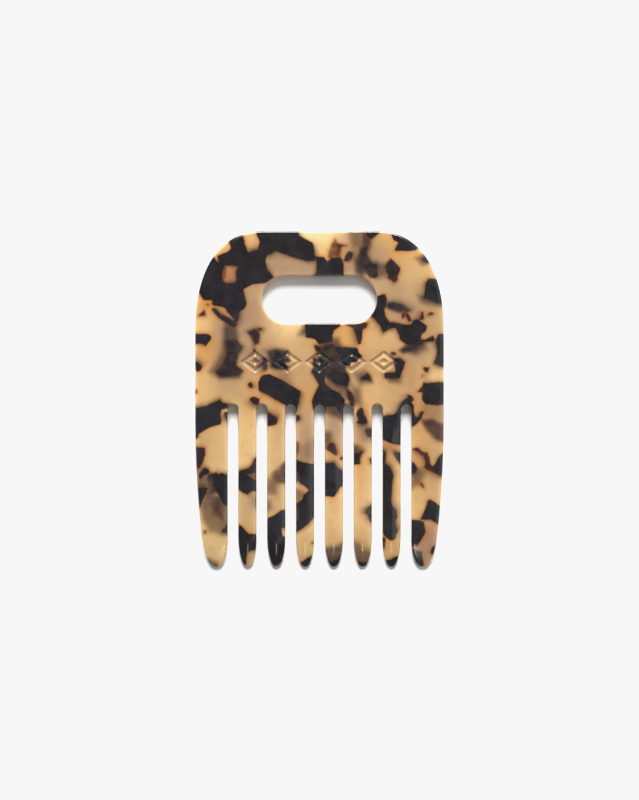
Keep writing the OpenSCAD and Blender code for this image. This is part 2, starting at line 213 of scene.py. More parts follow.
# Each chip: depth of its top in mm, how red it is (0 black, 1 red-brown), its corners in mm
CHIPS = [
    # handle, top left
    (0, 0, [(-19.4, 51.5), (-6.6, 51.5), (-6.4, 49.5), (-2.3, 47.2), (-1.9, 46), (-1.4, 42.6), (-1.6, 42),
        (-4, 41.8), (-8.2, 43.1), (-13.3, 44.9), (-15.7, 43.6), (-18.4, 45.2), (-17.9, 47.6)]),
    (0, 0, [(-22, 43.9), (-18.6, 44.9), (-15.4, 44.3), (-16.3, 41.8), (-15.7, 38.9), (-13.8, 36.9),
        (-16, 35.2), (-19.8, 34.9), (-23.2, 33.3), (-24.7, 35.6), (-24.9, 38), (-24.2, 40.4)]),
    (0, 0.1, [(-23.2, 50), (-27.4, 48.3), (-26.5, 45.7), (-27.6, 44.4), (-30.6, 43.3), (-30.3, 41),
        (-28, 40.5), (-23.9, 40.2), (-19.6, 43.9), (-21.5, 44.2), (-22.4, 46.6)]),
    (0, 0, [(-32.6, 43.6), (-30.3, 40.9), (-28.6, 40.4), (-29.4, 38), (-29.4, 36), (-28, 34.9), (-25.6, 35),
        (-24.6, 35.9), (-23, 33.4), (-22.6, 31.5), (-22, 29), (-22.8, 27.4), (-24.5, 26.4), (-28.8, 27.9),
        (-32, 28.5), (-32.1, 30.1), (-34.6, 30.1), (-36.4, 32.6), (-35.8, 37)]),
    (0.2, 0.9, [(-29.8, 41), (-28, 40.8), (-28.2, 37.4), (-29.2, 35.4)]),
    (0, 0.2, [(-28.6, 28.2), (-24.4, 26.6), (-24.3, 24.6), (-25, 23), (-25.9, 24.6), (-27.6, 26.6)]),
    (0, 0.2, [(-32.3, 27.3), (-31.2, 27.4), (-29.6, 25.7), (-26.2, 23.9), (-24.9, 22.6), (-26, 22),
        (-28.6, 23.6), (-30.8, 25.2)]),
    (0, 0.5, [(-36.3, 25.2), (-34.5, 26.9), (-34.3, 25.5)]),
    (0.2, 0.6, [(-33.8, 28.6), (-33.4, 28.9), (-33.1, 28.6), (-33.4, 28.3)]),
    # handle, above the slot
    (0, 0.1, [(-1.2, 43), (1.3, 42.9), (2.4, 41.3), (3.6, 42.6), (6.3, 42.6), (7.1, 41), (7.3, 36),
        (-2.2, 36), (-0.8, 38.4), (-0.7, 41.6)]),
    (0.2, 0.9, [(2.7, 42.8), (3.6, 46.6), (4.7, 48.3), (5.4, 47), (6.4, 46.1), (6.2, 42.5)]),
    (0.1, 0.8, [(5.2, 47), (8.2, 46.4), (5.6, 45.9)]),
    (0, 0.3, [(7.4, 41.7), (7.9, 43.4), (8.8, 44.5), (9.8, 44.3), (9.6, 42.8), (8.6, 41.8)]),
    (0.2, 0, [(12.4, 44.8), (14.2, 45.4), (14.4, 43.4), (15.6, 41), (17.4, 40.6), (17.3, 36.8), (15.2, 36.5),
        (14, 38.6), (12.6, 41), (11.8, 43)]),
    (0.8, 0.3, [(13, 51.5), (15.4, 51.5), (15.4, 47), (14.8, 45), (12.4, 44.6), (12.8, 47.5)]),
    (1.1, 0.3, [(10.8, 42.5), (13, 44), (14, 38), (12.5, 37.2), (11, 39)]),
    (1.7, 0.5, [(8.6, 51.5), (13, 51.5), (12.6, 45.6), (9.8, 45.6)]),
    (1.3, 0.4, [(17, 41), (19.6, 41), (20.4, 39.4), (19.6, 37), (16.8, 36.4)]),
    (1, 0.2, [(10.6, 41.8), (12.4, 43.4), (13.2, 39), (12.8, 37), (10.8, 38)]),
    (1.3, 0.3, [(29.4, 31.5), (32, 31.2), (37.8, 29.6), (37.8, 27.8), (33, 28.4), (30.3, 29.2)]),
    (2.4, 0.7, [(29.6, 33), (31.4, 35.4), (31.8, 31)]),
    (0, 0.2, [(14.2, 51.5), (18.6, 51.5), (17.4, 49.8), (15.4, 48.4), (14.6, 49.3)]),
    # handle, top right
    (0, 0, [(21.4, 50.4), (29.8, 46.4), (28.8, 45), (23.4, 44.7), (22.6, 45), (23.9, 47.3), (22.3, 48)]),
    (0, 0.2, [(19.8, 40.2), (21.4, 42.3), (22.6, 41.3), (24.1, 39.6), (24, 38.4), (23.2, 37.5), (21.2, 37.6),
        (20.2, 38.2)]),
    (0, 0.6, [(20.6, 38), (23.3, 38), (23.3, 35.9), (22.4, 35.3), (20.5, 36.7)]),
    (0.9, 0.4, [(28.8, 42.6), (31.4, 44), (33.2, 41.4), (30.6, 40.4)]),
    (0, 0, [(31, 42.4), (32.2, 43.4), (33.6, 41.6), (32, 41.2)]),
    (0, 0, [(32, 35.2), (32.8, 36.4), (36, 36), (38, 29), (35, 29.4), (31.4, 30.8), (31.8, 33)]),
    # right of the slot
    (0, 0.1, [(16.8, 31), (19.5, 31.7), (20, 30.8), (19.9, 28.4), (19.2, 27), (19.8, 24.8), (20.8, 23.4),
        (22.6, 21.7), (20.8, 21.4), (19.2, 20.3), (18.4, 22.4), (17, 24), (15.6, 25.2), (16.8, 28)]),
    (0, 0, [(20.6, 23.2), (22.8, 23.1), (25.8, 22.4), (27.6, 22.6), (28.2, 23.8), (29.4, 24.1), (30.4, 23.4),
        (32.2, 22), (31.8, 20.6), (30.5, 19.9), (30, 17.9), (27.8, 17), (26, 16.9), (24.4, 18), (23.7, 20.2),
        (22.9, 21.6)]),
    (0.5, 0, [(19.8, 29.2), (22, 29.5), (24.8, 28.8), (27.2, 27), (25.8, 26), (23.4, 26.4), (20.2, 27.6)]),
    (2, 0.3, [(20, 30), (24, 30.2), (28.4, 28.2), (28, 26), (25, 26)]),
    (0, 0.7, [(25.6, 26), (26.6, 25.8), (27.6, 24), (26.8, 23.4), (26.2, 24.8)]),
    (0, 0.8, [(24.6, 25.6), (25.4, 26.4), (25.4, 25.4), (25, 24.4)]),
    (0, 0.6, [(30, 24.3), (30.6, 26.5), (31.1, 26.4), (31.4, 24.4), (30.9, 24)]),
    (0, 0.7, [(32.5, 25.6), (33.4, 26.2), (34.4, 25.9), (33.4, 25.6)]),
    # handle, left side
    (0, 0.1, [(-38, 19.7), (-33.4, 19.7), (-32.4, 19), (-32.7, 18.2), (-34.2, 16.3), (-34.9, 17),
        (-38, 17.1)]),
    (0, 0.4, [(-38, 12), (-36.4, 11.2), (-35.3, 10.1), (-35.9, 8.8), (-36.7, 8.6), (-38, 9.6)]),
    (0.3, 0, [(-27.2, 18), (-24.8, 18.2), (-22.8, 16), (-24.2, 13.8), (-25, 10.6), (-22.8, 8.8),
        (-24.2, 7.2), (-30.2, 7), (-31.2, 8.4), (-28.9, 11), (-27.8, 14)]),
    (1.8, 0.1, [(-28.6, 17.8), (-26.4, 18), (-25, 9), (-23.8, 6.8), (-29.6, 6.4), (-33, 8.4), (-31, 11.6),
        (-29.6, 14.4)]),
    (1.2, 0, [(-28.8, 21.5), (-28, 23.4), (-25, 22.6), (-24.2, 19), (-25, 17.6), (-26.6, 14.6),
        (-28.4, 16)]),
    (2.6, 0.4, [(-21, 14.5), (-17, 15), (-16.5, 8.6), (-19, 9), (-21, 12)]),
    (0.2, 0.1, [(-21.6, 20.4), (-19.4, 21.3), (-18.2, 21.3), (-17.9, 19.8), (-18.2, 17), (-19.5, 16.6),
        (-20.2, 18.4)]),
    (0, 0.3, [(-18.7, 21.6), (-17.2, 21.6), (-17.7, 20.7)]),
    (0, 0.5, [(-19.8, 15.2), (-19.3, 15.1), (-19.3, 14.4), (-19.8, 14.4)]),
    (0, 0.5, [(-21.4, 4.8), (-20.9, 5.3), (-20.2, 4.7), (-20.2, 3.8), (-21, 3.8)]),
    (0, 0, [(-18.2, 5.4), (-17.2, 7.3), (-15.2, 7.7), (-10.6, 5.6), (-9.2, 4.6), (-5.9, 2.6), (-5.9, 1.5),
        (-6.6, -1.4), (-7.3, -3.4), (-9.6, -1.8), (-12.4, -0.1), (-15.4, 1.6), (-18.2, 2.9)]),
    (0.8, 0.1, [(-15.6, 14.6), (-13, 15.4), (-9.4, 14.8), (-9, 12), (-9.6, 9.6), (-11, 9.2), (-14.6, 9.6),
        (-15, 12)]),
    (2, 0.4, [(-14, 8.6), (-9.4, 8), (-8, 5), (-11, 5.6)]),
    (0.2, 0.1, [(-17, 12.6), (-15.8, 12.5), (-15.6, 9.4), (-16.4, 8.4), (-17, 10)]),
    (0, 0, [(-14.1, 10.4), (-12.8, 14.2), (-11.8, 13.8), (-9.6, 9.6), (-12.4, 10)]),
    (0, 0.3, [(-20.9, 0.3), (-19.9, 0.9), (-18, 0.3), (-18, -0.8), (-18.8, -1.8), (-20, -0.9)]),
    (0, 0.6, [(-38, 3.2), (-36.9, 2.9), (-37, 2.1), (-38, 1.9)]),
    # under the slot
    (0, 0, [(-4.2, 23.5), (6.1, 23.5), (6.1, 22.2), (4.4, 21), (3.7, 19.3), (3.8, 17.8), (1.8, 17.2),
        (0, 16.8), (-1.2, 18.2), (-4, 19)]),
    (1.2, 0, [(-6.4, 19.4), (-4.8, 22.8), (-3.4, 23), (-3.4, 19)]),
    (1.2, 0, [(2, 18.4), (5.8, 18.6), (6.6, 16.6), (4, 15.6), (-0.6, 16.2)]),
    (0, 0.2, [(-1.6, 16.4), (0.2, 15.8), (0.4, 14.8), (-1, 14.6)]),
    (0.5, 0, [(-0.4, 16), (3.4, 16.6), (6.4, 16), (7.6, 12), (8, 8.4), (8.8, 6.2), (8, 4.3), (5.6, 4.6),
        (3, 6.4), (0.8, 7.6), (-0.2, 9), (-0.6, 12)]),
    (0, 0, [(5.6, 15), (7.4, 15.8), (11.3, 15.5), (11.6, 14.4), (12.8, 13), (10.6, 11.4), (8.2, 10.2),
        (6.8, 12.4)]),
    (0, 0.1, [(-2.3, 8.4), (-1.7, 9.8), (-1.9, 12.6), (-1.2, 12.8), (-0.8, 10.2), (1.6, 8.2), (1.2, 4),
        (0.2, 4.4), (-0.6, 5.8)]),
    (0, 0.1, [(2.2, 7.6), (4, 8.2), (8.4, 8), (8.9, 6.4), (8.2, 4.2), (5.8, 4.6), (4.2, 5.6)]),
    (0, 0, [(-2.2, -0.4), (-1.2, 2.2), (0, 4.4), (0.6, 5.9), (2, 4.6), (3.6, 3.2), (6, 2), (7.3, 0.2),
        (7.8, -3.4), (6.4, -4), (5, -1.8), (1.8, -1.9), (-1.7, -3)]),
    (0.9, 0.5, [(2, 7.6), (4, 5.8), (8.2, 4.4), (9.4, 1.6), (8.2, 0.2), (5, 2.8), (2.4, 4.6)]),
    (1.5, 0.3, [(9.8, 4.4), (12.4, 3.2), (12.6, -1.6), (10, -1.6)]),
    (0.1, 0.1, [(8.2, 3.4), (9.6, 2.2), (10.6, 0.2), (10.4, -1.6), (9.6, -1.8), (8.6, 0.4)]),
    (0, 0.8, [(7.8, 22.6), (9, 23), (14.4, 23.2), (14, 21.9), (12.9, 21.2), (12.6, 21), (10.6, 21.2),
        (9.4, 21.9)]),
    (0, 0.2, [(10.4, 21.4), (12.9, 21.4), (12.7, 19), (12.4, 17), (11.7, 16.9), (11.3, 18.4), (11, 20)]),
    (1.8, 0.2, [(10.4, 8), (13.2, 8.8), (15.6, 5.4), (12, 4.4)]),
    (1, 0.2, [(19.8, 7), (24.2, 7.2), (24, 5), (20.8, 5.4)]),
    (0.1, 0, [(12.4, 6.2), (14.2, 8.3), (15.2, 7.3), (15.5, 5.7), (14, 6.1)]),
    (0, 0.1, [(22.4, 12.3), (24.1, 12.6), (25.7, 11.5), (25.3, 10), (24.6, 8.4), (24, 6.8), (22, 6.4),
        (19.7, 6.7), (19.6, 7.9), (22.8, 8.2), (23, 9.4), (22.4, 10.8)]),
    (0, 0.3, [(21.4, 14.2), (22.6, 14.3), (22.8, 13.7), (21.6, 13.5)]),
    (0.4, 0, [(24, 15), (26.6, 17), (30.6, 18.4), (31.2, 16.9), (28.4, 14.9), (25, 14.2)]),
    (1.5, 0.2, [(26, 15), (31, 17), (32.4, 15.4), (29, 13.4)]),
    (0, 0.3, [(29.8, 17.6), (32, 18.2), (33.4, 18.9), (34, 19.2), (34.5, 18.4), (34.6, 17.9), (32, 17.5)]),
    (0, 0, [(35.8, 19.8), (38, 19.8), (38, 10.2), (36.4, 10.3), (34.4, 11.3), (35.2, 13), (35.6, 15),
        (34.9, 17.6)]),
    (0, 0.5, [(31.2, 9.7), (32.9, 9.8), (32.3, 8.5), (31.8, 8.6)]),
    (0.1, 0.8, [(30.7, 7), (31.3, 7.6), (31.2, 7.1)]),
    (0, 0.1, [(30.8, 0.2), (30.9, 2.4), (29.5, 2.5), (30.8, 4), (31.3, 5.2), (31.9, 5), (36, 5.3), (38.4, 5),
        (38.4, -1), (35.4, -1.5), (31.8, -1.2)]),
    (0, 0.2, [(24.1, -2.4), (24.6, -0.9), (25.8, 0.3), (26.8, 0.8), (26.3, 1.7), (27.7, 1.1), (28.3, 0),
        (27.4, -0.6), (28.2, -1.6), (28.3, -3.4), (28.7, -5), (29.6, -5.2), (30.6, -3.4), (31.2, -3.5),
        (30.6, -5.4), (28.8, -7.4), (27.5, -8.2), (27.2, -2.2), (26, -1.2), (25, -1.8)]),
    # teeth, from left to right; the black chips across the very ends of the tips are painted dark reflection
    # and shade
    (0, 0, [(-38.4, -2.7), (-33.8, -1.9), (-31.4, -0.6), (-30, -0.2), (-29.4, -2.4), (-29.8, -4.6),
        (-29.6, -6.2), (-29.9, -7.3), (-33, -8.2), (-35.4, -9.5), (-36.4, -10.2), (-36.5, -11), (-37, -11.6),
        (-38.4, -11.6)]),
    (0, 0.3, [(-30.2, 0), (-29, -0.9), (-27.4, -1.2), (-27.6, -2.4), (-30, -3), (-31, -1)]),
    (0, 0.2, [(-28.6, -3.6), (-27.2, -3.6), (-27.2, -6.2), (-28.3, -5.2)]),
    (0, 0.5, [(-38.4, -14.4), (-34.4, -14.4), (-34.2, -16.4), (-35, -18.4), (-36, -20.4), (-38.4, -20.4)]),
    (0, 0.1, [(-34.6, -20.4), (-33.6, -20.7), (-33, -21.5), (-34.4, -22.4), (-35.9, -23.6), (-36.2, -22.4)]),
    (0, 0, [(-31.8, -22.6), (-31.2, -21.8), (-30.4, -22.5), (-29.6, -22), (-27.2, -22.7), (-27.2, -32.4),
        (-28.6, -31.2), (-30.4, -28), (-31.6, -26)]),
    (0.8, 0.1, [(-33.6, -22), (-31.4, -22.2), (-30.8, -27.6), (-32.6, -28)]),
    (1.3, 0.3, [(-36.6, -22), (-34, -22.6), (-32, -22), (-31.6, -28), (-34, -29), (-37, -25.6)]),
    (0.9, 0.4, [(-38.4, -17), (-35.2, -18), (-35.6, -21), (-38.4, -22.6)]),
    (0, 0.1, [(-38, -26.6), (-33.6, -26.4), (-34.2, -28.2), (-35.4, -30.6), (-35.9, -32.4), (-38, -31)]),
    (1.4, 0.3, [(-33.4, -28), (-29, -29), (-26.6, -32), (-26.6, -39.8), (-30, -40.4), (-33, -39.6),
        (-35.4, -36), (-36, -31)]),
    (1.4, 0.1, [(-32.2, -29.6), (-30, -29.6), (-28.6, -33), (-29.4, -35.6), (-31.4, -34.6)]),
    (0, 0.2, [(-27.2, -36), (-28.2, -38), (-29.3, -39.5), (-27.2, -40)]),
    (0.1, 0.5, [(-34.4, -39.2), (-34, -39.2), (-34, -39.7), (-34.4, -39.7)]),
    # painted dark reflection and shade at the end of this tip
    (1, 0.2, [(-35, -47.4), (-33, -47.8), (-30.6, -49), (-30, -51.4), (-35, -51.4)]),
    (0, 0.3, [(-25, -21.7), (-21.2, -20.6), (-20.4, -19.8), (-19.5, -17.9), (-18.4, -17.6), (-18.4, -21.4),
        (-20, -21.8), (-21.8, -22.4)]),
    (0, 0, [(-25, -21.8), (-22, -22.2), (-20.4, -23.8), (-18.4, -24.5), (-18.4, -26.9), (-20.4, -27.2),
        (-21.6, -28.2), (-22.8, -27.7), (-25, -26.2)]),
    (0.5, 0.7, [(-22.4, -21), (-18.4, -20.8), (-18.4, -24.6), (-20.2, -24)]),
    (2, 0.2, [(-18.4, -28), (-20.8, -29), (-20, -32), (-18.4, -33)]),
    (0, 0, [(-25, -36.8), (-23.6, -37.6), (-22.4, -39), (-21.4, -40.2), (-18.4, -40.4), (-18.4, -44.6),
        (-20.4, -44.8), (-21.7, -45.6), (-22.2, -47.6), (-22.4, -49), (-23.4, -49.6), (-25, -48)]),
    (0, 0.4, [(-16.2, -3.4), (-12.6, -5.3), (-12.8, -6.8), (-13.2, -7.4), (-16.2, -8)]),
    (0.9, 0.2, [(-9.8, -18.2), (-11.4, -19.4), (-13.8, -22), (-12.6, -24.6), (-9.8, -25)]),
    (1.4, 0.5, [(-13.4, -21.6), (-11.6, -23), (-12.6, -26), (-13, -28.4), (-16.4, -28.4), (-16.4, -25)]),
    (1.4, 0.4, [(-16.2, -29.4), (-14.6, -30.4), (-14.4, -32.6), (-16.2, -34.4)]),
    (0, 0, [(-9.8, -32.8), (-11.6, -33.2), (-13.4, -34.6), (-16.2, -35.7), (-16.2, -45.2), (-15.2, -47.6),
        (-13.8, -49.5), (-12.2, -49.2), (-9.8, -46), (-10, -41.2), (-11.2, -40.8), (-11.5, -38.3),
        (-9.8, -38.1)]),
    (0, 0.3, [(-7.4, -4.6), (-6.1, -4.6), (-6, -5.8), (-6.6, -6.2), (-7.4, -6.2)]),
    (0.6, 0.3, [(-7.4, -12.4), (-6.3, -12.6), (-6.4, -15.4), (-7.4, -17.2)]),
    (2.2, 0.2, [(-1.2, -11), (-3.6, -12.2), (-5.8, -14.4), (-5.6, -17.6), (-1.2, -19)]),
    (0, 0, [(-7.4, -18), (-4.6, -19), (-1.2, -19.7), (-1.2, -27.2), (-3.2, -26.8), (-4.8, -25.4),
        (-5.6, -25.2), (-6, -21.6), (-7.4, -21.4)]),
    (0.6, 0.2, [(-7.4, -21), (-5.6, -21.4), (-5.4, -25), (-7.4, -24.4)]),
    (1.2, 0.5, [(-7.4, -26.4), (-5.4, -27), (-4, -28), (-4.6, -29.8), (-7.4, -31.4)]),
    (0, 0, [(-1.2, -26.4), (-3.2, -27.2), (-4.7, -28.7), (-5, -30), (-7.4, -31.3), (-7.4, -32.1),
        (-5.9, -32.2), (-5.9, -36.4), (-7.4, -37.8), (-7.4, -39.6), (-5.8, -38.8), (-4.6, -37.9),
        (-3.6, -37.2), (-2.4, -35.8), (-1.2, -34.4)]),
    (0.9, 0.1, [(-7.4, -32), (-5.7, -32), (-5.7, -37), (-7.4, -38)]),
    (0.1, 0.4, [(-2.3, -43.2), (-1.6, -42.6), (-1.6, -42.9)]),
    # painted dark reflection and shade at the end of this tip
    (0, 0, [(-5.9, -49.6), (-4.8, -48.8), (-3.4, -47.6), (-1.4, -46.8), (-1.4, -51.4), (-5.9, -51.4)]),
    (0.9, 0.1, [(1.2, -0.8), (7.4, -3), (7.4, -6.6), (4.6, -4.8), (1.2, -3.6)]),
    (1.2, 0.1, [(1.2, -9.4), (3.4, -9.8), (4, -12.6), (3.4, -14.4), (1.2, -15)]),
    (0, 0.8, [(3.2, -13), (4.3, -13.2), (5.2, -15), (5.3, -16.4), (4.8, -16.6), (3, -15.5), (2.1, -14.8),
        (2.6, -13.8)]),
    (0, 0.4, [(6.1, -17.5), (7.4, -17.5), (7.4, -18), (6.4, -18)]),
    (0, 0, [(1.2, -19.2), (4.3, -19), (5.4, -20.6), (7.4, -22), (7.4, -25.8), (6, -26.2), (5.4, -27.4),
        (4.2, -29), (1.2, -28.9)]),
    (1.5, 0.1, [(1.2, -44.4), (4.2, -44), (5.2, -43.8), (7.4, -42.8), (7.4, -51.4), (1.2, -51.4)]),
    # painted dark reflection and shade at the end of this tip
    (0, 0, [(1.6, -47.2), (3, -48.2), (4, -48.6), (5.4, -48.1), (7, -46.8), (7, -51.4), (1.6, -51.4)]),
    (0, 0.1, [(12.3, -2.2), (13, -2.6), (13.4, -4.6), (14, -5.6), (14.3, -6.7), (13, -7.2), (11.2, -6.9),
        (11.8, -5.8), (11.1, -4.4), (11.6, -3)]),
    (0.2, 0.1, [(14, -8.9), (16.2, -8.2), (16.2, -11.2), (14.6, -10.9), (13.9, -10)]),
    (2, 0.3, [(12.8, -9), (16.2, -9), (16.2, -12.6), (13.2, -12)]),
    (0, 0.4, [(9.8, -16.6), (11.4, -16.1), (12.9, -15.5), (12.4, -16.7), (12, -17.6), (12.1, -19.2),
        (9.8, -19.4)]),
    (0.9, 0.3, [(9.8, -13.4), (12, -13.8), (13.4, -15.4), (12, -16.6), (9.8, -16.6)]),
    (0.1, 0.6, [(15.1, -17.6), (16.2, -17.4), (16.2, -19.2), (15.3, -19)]),
    (0, 0.4, [(16.2, -31.2), (14, -32.8), (13.6, -34), (14.5, -34.5), (15.2, -36), (16.2, -37.6)]),
    (1.9, 0.3, [(9.8, -42), (12.2, -43), (13.4, -44.6), (16.2, -45.4), (16.2, -51.4), (9.8, -51.4)]),
    # painted dark reflection and shade at the end of this tip
    (0, 0, [(10.4, -47.8), (11.8, -48.6), (13, -48.9), (14.6, -48.4), (15.4, -51.4), (10.4, -51.4)]),
    (0, 0, [(18.6, -5.4), (20, -4.7), (22.4, -4.4), (23.4, -3.6), (24.2, -2), (24.8, -2.4), (24.8, -13.4),
        (23.6, -13.4), (22.4, -13.2), (20.4, -12.4), (18.6, -11.9)]),
    (0, 0.2, [(18.6, -14.6), (19.8, -16), (19.6, -19), (21.2, -20.4), (22.1, -22.6), (21.6, -26),
        (21.4, -30), (21.6, -31.8), (23, -33.6), (23.1, -35.4), (22.5, -36.8), (23.4, -39.4), (22.8, -40.4),
        (22.8, -41.2), (22, -42.3), (20.8, -42), (19.6, -41), (18.6, -40)]),
    (0, 0.1, [(22.1, -15.7), (23.4, -15.8), (24.8, -16.3), (24.8, -20), (23.2, -18)]),
    (0, 0.2, [(18.6, -41), (19.7, -41.6), (19.6, -44.6), (18.6, -44.6)]),
    # painted dark reflection and shade at the end of this tip
    (0, 0, [(19, -47.8), (21.4, -48.2), (22.8, -47.2), (24.4, -46.8), (24, -51.4), (19.4, -51.4)]),
    (0.7, 0.2, [(30.6, -6), (33.6, -5.6), (36, -6.8), (38.4, -7.4), (38.4, -12.8), (35, -11.8), (32, -8.8)]),
    (2.3, 0.3, [(30.8, -1.4), (38.4, -1.4), (38.4, -7), (31, -6)]),
    (0, 0.7, [(27.8, -14.7), (29.6, -14.3), (30.8, -15.4), (32.2, -15.8), (32.8, -17), (33.1, -18.8),
        (33.8, -20.2), (36.8, -22.2), (36.4, -22.7), (34, -21.6), (31.5, -20.2), (31.8, -18.4),
        (31.2, -16.8), (29.4, -15.5)]),
    (0, 0, [(35.6, -17.4), (38, -15), (38, -23), (36.6, -22.6), (33.4, -20.3), (34.8, -19.4)]),
    (0, 0.1, [(27, -18.2), (28.4, -19), (29.4, -20.6), (28.8, -21.6), (27, -22.4)]),
    (1.3, 0.4, [(27, -21.4), (30.6, -20.4), (31.6, -22), (30.2, -25), (27, -27)]),
    (0.1, 0.6, [(30.4, -25), (30.8, -25.1), (31.5, -26.4), (31.2, -26.4)]),
    (0, 0, [(32.6, -30.2), (33.3, -30), (37, -32.6), (36.4, -37.4), (35.2, -36.8), (33.4, -35.7),
        (30.3, -35.8), (31, -34.6), (32, -32.6)]),
    (0, 0, [(27, -36), (30, -36.2), (31.3, -36.7), (31.7, -39.8), (30.4, -42), (29.4, -43.8), (28.4, -44),
        (27, -43)]),
    # painted dark reflection and shade at the end of this tip
    (0, 0, [(27, -44.2), (29.2, -45.5), (30.5, -45.6), (31.2, -48.8), (31.5, -51.4), (27, -51.4)]),
    (0, 0.1, [(33.4, -46), (34, -44.2), (35.4, -43.6), (35.4, -46.8), (34.2, -46.8)]),
]

# Tones of the honey as seen on a screen: 0 to 255, and more for painted light where lit edges glow
CREAM = (255, 216, 150)
HONEY = (240, 196, 134)
AMBER = (228, 172, 97)
ORANGE = (206, 141, 80)
TAN = (198, 164, 124)
ROSE = (192, 142, 114)
SAND = (210, 170, 122)
MAUVE = (166, 130, 106)
# painted light: the bright tone that the honey is drawn toward along every edge
PAINTED_EDGE_LIGHT_TONE = (272, 242, 186)
# painted light: the glow where edges face the key light
PAINTED_LIT_EDGE_TONE = (305, 270, 208)
DUSK = (186, 152, 120)
GOLD = (246, 190, 108)
CLAY = (184, 126, 92)
# Patches of each tone: their places and radii in mm
PATCHES = {
    # the first cream patch, by the top edge, is painted light: the glow of that lit edge
    CREAM: [(2.5, 47.5, 3), (-36, 23.5, 2), (34.5, 7.5, 2.6), (-32, -44, 5), (-22, -12, 7),
        (-4.3, -43.5, 5)],
    HONEY: [(-21, 48.5, 3), (-29.5, 46, 3), (27.5, 39, 4), (33, 39, 3), (-11, 18.5, 4), (18, 18.5, 4),
        (15.5, 3, 4), (-35, 4, 3.5), (4.3, -36, 9), (13, -33, 8), (21.6, -44.5, 3), (29.5, -31, 3.5)],
    AMBER: [(1.5, 44.5, 2.5), (-20.3, 45.5, 1.6), (24, 42.5, 3), (-34.5, 28, 3), (8, 19.5, 4),
        (14.8, 22.5, 2), (-35.5, 14, 3), (-4.6, 1, 2.5), (-22, -3, 3), (13, -21, 4), (23, -26, 5),
        (30, -12, 3), (-22, -39.5, 1.6)],
    ORANGE: [(7.2, 44.5, 2.2), (30.5, 33.5, 1.6), (27.5, 8.5, 2), (-18.5, 1, 2), (-0.8, 12.4, 1),
        (-14, -1.8, 4), (4.6, -18, 2.2), (4.2, -29.8, 1.6), (15, -3, 2), (21, -14.5, 2.5), (23.3, -36, 3),
        (30, -18, 2.2), (29.5, -1.5, 2), (-35, -11.6, 1.4)],
    TAN: [(9.8, 47.5, 3), (23, 33, 5), (17.5, 37, 2), (29, 29.5, 4), (-20, 32, 3), (31, 14, 3.5),
        (11, 9.5, 3), (-20, -30.5, 2), (-12.4, -29, 3), (-3.8, -6, 3), (13, -44, 2)],
    ROSE: [(22, 25.2, 3), (-20.5, 26.5, 2.5), (-28, 25.8, 1.8), (-30, 12.5, 2.4), (-28.8, -4.5, 1.6),
        (-6.2, -9, 2.6), (12.5, -10, 3.4), (33.5, -41.5, 3.5), (29.6, -44.6, 1.2)],
    SAND: [(35.5, 25, 4), (-14.5, 24, 3), (-7, 16.5, 3), (18.5, 13, 4), (25, 4, 5), (-25, 0, 4),
        (-5.5, 7.5, 3), (-31, -13, 5), (-22.5, -32, 5), (-13, -13, 5), (34.5, -14, 3.5), (33.5, -26, 4),
        (33, -47, 2)],
    MAUVE: [(-3, -15, 2.6), (3, -2.6, 2), (-5.4, -26, 1.6), (-6.6, -34, 2)],
    # painted light: glow along the top edge and the slot's lower edge, which face the key light
    PAINTED_LIT_EDGE_TONE: [(0.5, 49.5, 3.2), (-9.5, 23, 3)],
    DUSK: [(9, 39.5, 3), (17.5, 44.5, 3.5), (-11.5, 40.5, 4), (-4, 39, 2.6), (-23, 22, 4), (-15.5, 16, 3),
        (-27, 5, 3), (4.3, -7, 4)],
    GOLD: [(20.4, 48.4, 2.8)],
    CLAY: [(-27, 38, 3)],
}


# --- Outline
def smooth(t):
    t = np.clip(t, 0, 1)
    return t * t * (3 - 2 * t)


def half_width(y):
    """Half the comb's width at a height y, with the tips still square."""
    if y > CORNER_Y:
        rise = min(1, (y - CORNER_Y) / CORNER_H)
        return HALF_W - CORNER_W + CORNER_W * (1 - rise ** CORNER_POWER) ** (1 / CORNER_POWER)
    return HALF_W - SIDE_IN * (max(0, SIDE_H - HALF_L - y) / SIDE_H) ** 2


def half_thick(y):
    """Half the thickness at heights y, which is also how high its middle lies."""
    thin = np.clip((THIN_L - HALF_L - y) / THIN_L, 0, 1)
    return (SHEET_T - (SHEET_T - TIP_T) * thin ** THIN_POWER) / 2


def fall(x, y, edge):
    """How far a tooth's front falls from the ridge along its middle, edge mm from the tooth's side."""
    inner = np.abs(x) < gap_x(GAP_N - 1)
    shank = ROOF * smooth((ROOF_Y - y) / ROOF_L) * inner
    tip = RIDGE * smooth((RIDGE_L - HALF_L - y) / RIDGE_L)
    slope = 1 - np.clip(edge / np.where(inner, ROOF_REACH, OUTER_ROOF_REACH), 0, 1)
    return (shank + tip * np.where(inner, 1, OUTER_RIDGE)) * (np.hypot(slope, ROOF_ROUND) - ROOF_ROUND)


def gap_x(k):
    return (k - (GAP_N - 1) / 2) * TOOTH_PITCH


def tooth_sides(k, y):
    """Left side, tip and right side of tooth k at a height y, with its tip still square."""
    left = -half_width(y) if k == 0 else gap_x(k - 1) + GAP_R
    right = half_width(y) if k == GAP_N else gap_x(k) - GAP_R
    share = {0: OUTER_TIP_SHARE, GAP_N: 1 - OUTER_TIP_SHARE}.get(k, 0.5)
    return left, left + share * (right - left), right


